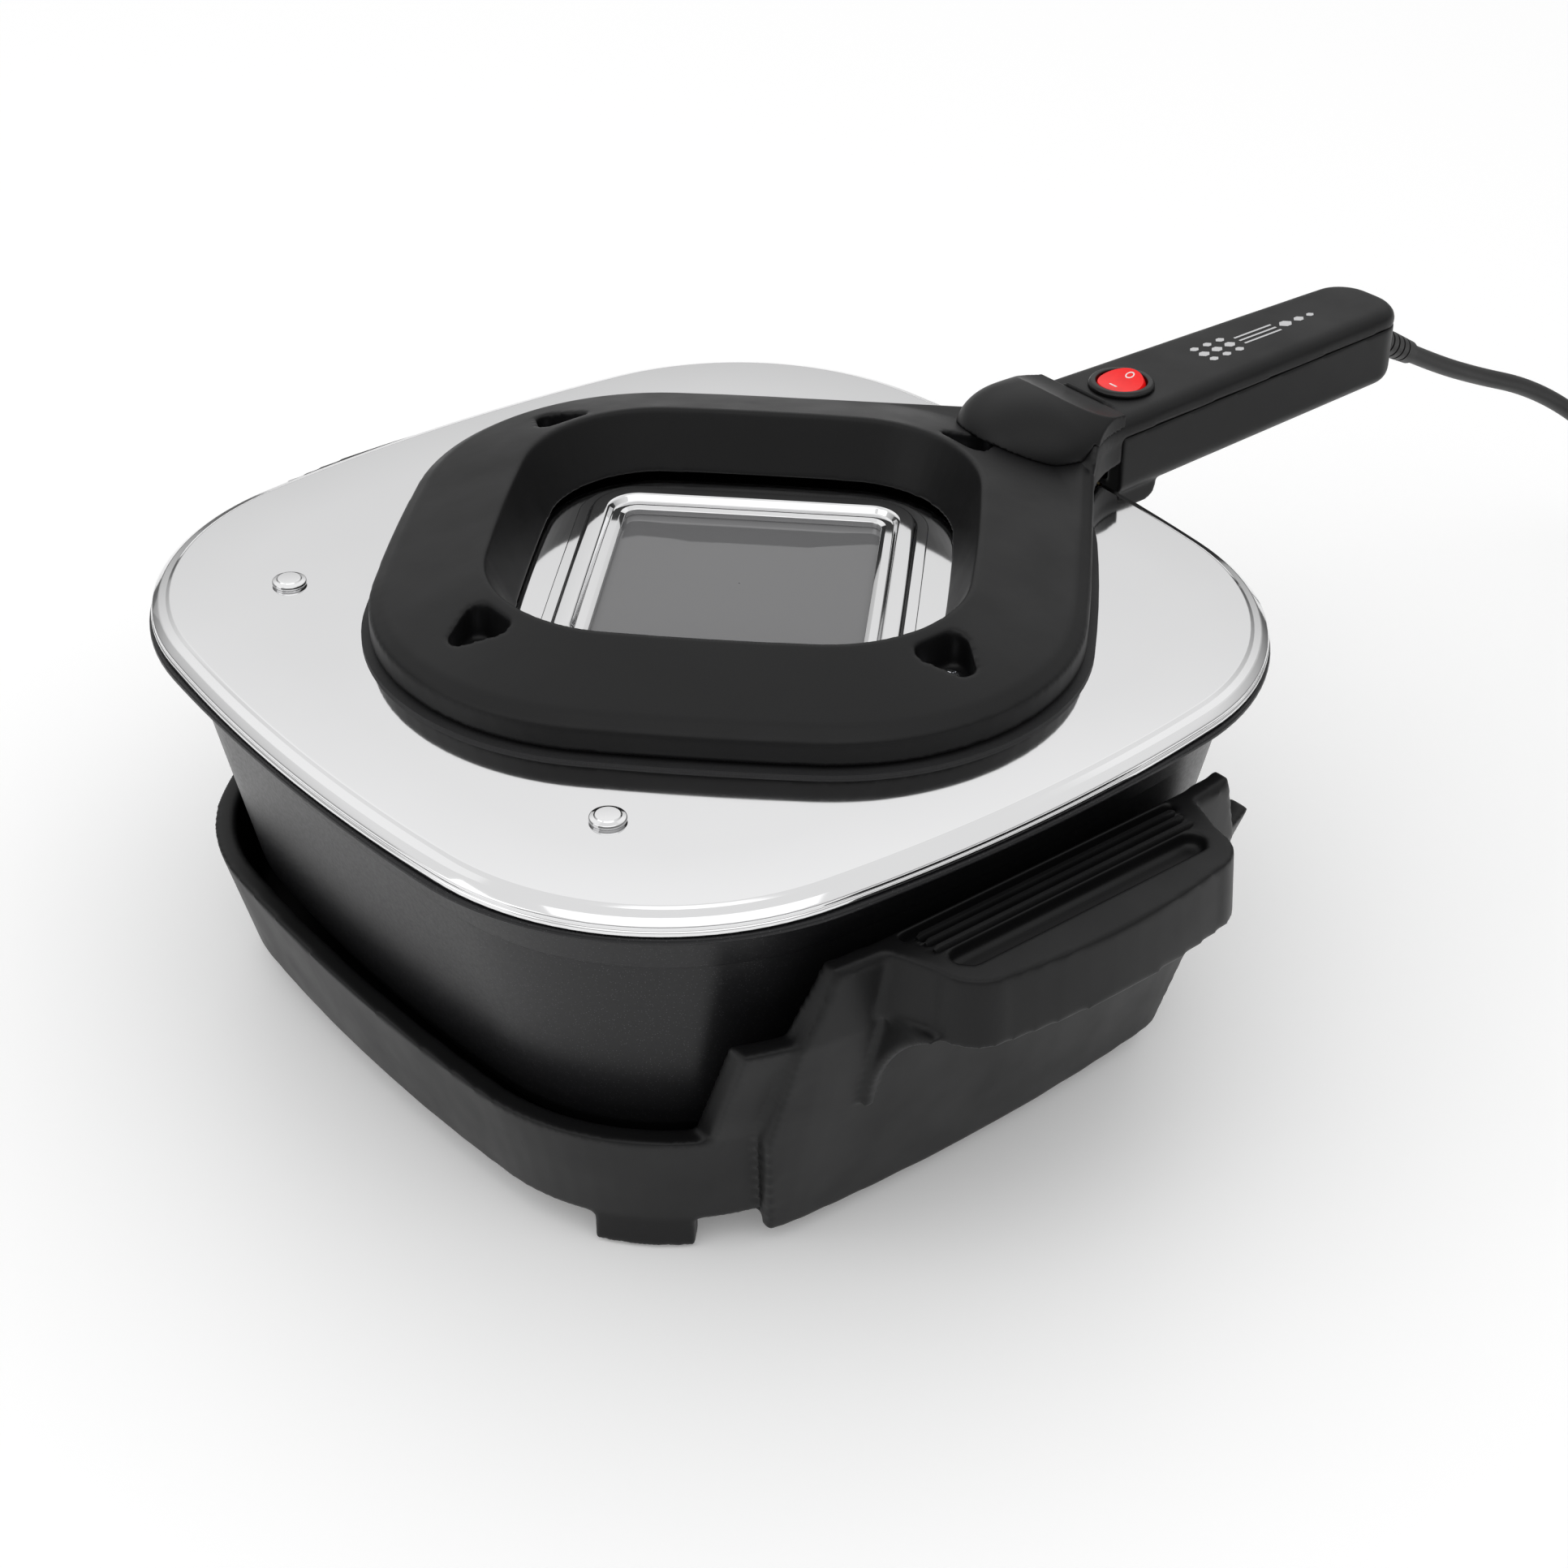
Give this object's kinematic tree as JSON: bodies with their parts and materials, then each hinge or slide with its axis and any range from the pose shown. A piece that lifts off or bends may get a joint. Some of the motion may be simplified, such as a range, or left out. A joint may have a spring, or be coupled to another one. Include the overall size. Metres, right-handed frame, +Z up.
{
  "type": "electric griddle",
  "caption": "Square electric pan with a heated, windowed steel lid on a switched handle, a lift-out non-stick bowl and a plastic stand with side grips.",
  "frame": {"origin": "on the table, under the middle of the bowl", "axes": "+Z up, +X from the lid's middle along its handle, +Y to the left of the handle"},
  "size_m": [0.6513, 0.381, 0.165],
  "materials": {
    "black_plastic": "fine texture, satin",
    "black_gloss": "semi-gloss",
    "rubber": "matt",
    "silicone": "matt",
    "nonstick": "dark non-stick coating with fine metallic speckle",
    "polished_steel": "mirror polished stainless steel",
    "aluminised_steel": "satin",
    "smoked_glass": "toughened, grey tint",
    "plated_steel": "zinc plated",
    "element_sheath": "heat-darkened sheath",
    "ceramic": "unglazed ceramic",
    "brass": "stamped",
    "wire_brown": "insulation",
    "wire_blue": "insulation",
    "cord_rubber": "fine grain",
    "tie_plastic": "smooth",
    "nickel": "nickel plated",
    "red_translucent": "translucent, lit from inside"
  },
  "bodies": {
    "stand": {"stand_shell": "black_plastic", "foot_pads": "rubber", "pan_rest_pads": "silicone"},
    "pan": {"pan_bowl": "nonstick"},
    "lid": {"lid_shell": "polished_steel", "lid_liner": "aluminised_steel", "window_frame": "polished_steel", "window_glass": "smoked_glass", "window_gasket": "silicone", "window_clamp": "aluminised_steel", "window_studs": "plated_steel", "window_nuts": "plated_steel", "heating_element": "element_sheath", "element_bushes": "ceramic", "bracket_rivets": "polished_steel", "element_brackets": "aluminised_steel", "upper_housing": "black_plastic", "insulating_ring": "silicone", "cover_studs": "plated_steel", "cover_screws": "plated_steel", "hump_cover": "black_plastic", "handle_bottom": "black_plastic", "handle_screws": "plated_steel", "switch_body": "black_gloss", "switch_terminals": "brass", "thermostat": "ceramic", "thermal_fuse": "plated_steel", "terminal_block": "ceramic", "wire_live": "wire_brown", "wire_neutral": "wire_blue", "wire_switch": "wire_brown", "cord_inner": "cord_rubber", "cord_clamp": "black_plastic", "clamp_screws": "plated_steel", "strain_relief": "cord_rubber", "power_cord": "cord_rubber", "cord_coil": "cord_rubber", "cord_tie": "tie_plastic", "plug_body": "cord_rubber", "plug_pins": "nickel"},
    "rocker": {"switch_rocker": "red_translucent"}
  },
  "joints": [
    {"name": "pan_lift", "type": "slide", "parent": "stand", "child": "pan", "axis": [0, 0, 1], "range_m": [0, 0.12]},
    {"name": "lid_lift", "type": "slide", "parent": "pan", "child": "lid", "axis": [0, 0, 1], "range_m": [0, 0.25]},
    {"name": "switch_rock", "type": "hinge", "parent": "lid", "child": "rocker", "pos_m": [0.181, 0, 0.152], "axis": [0, 1, 0], "range_deg": [0, 18]}
  ]
}
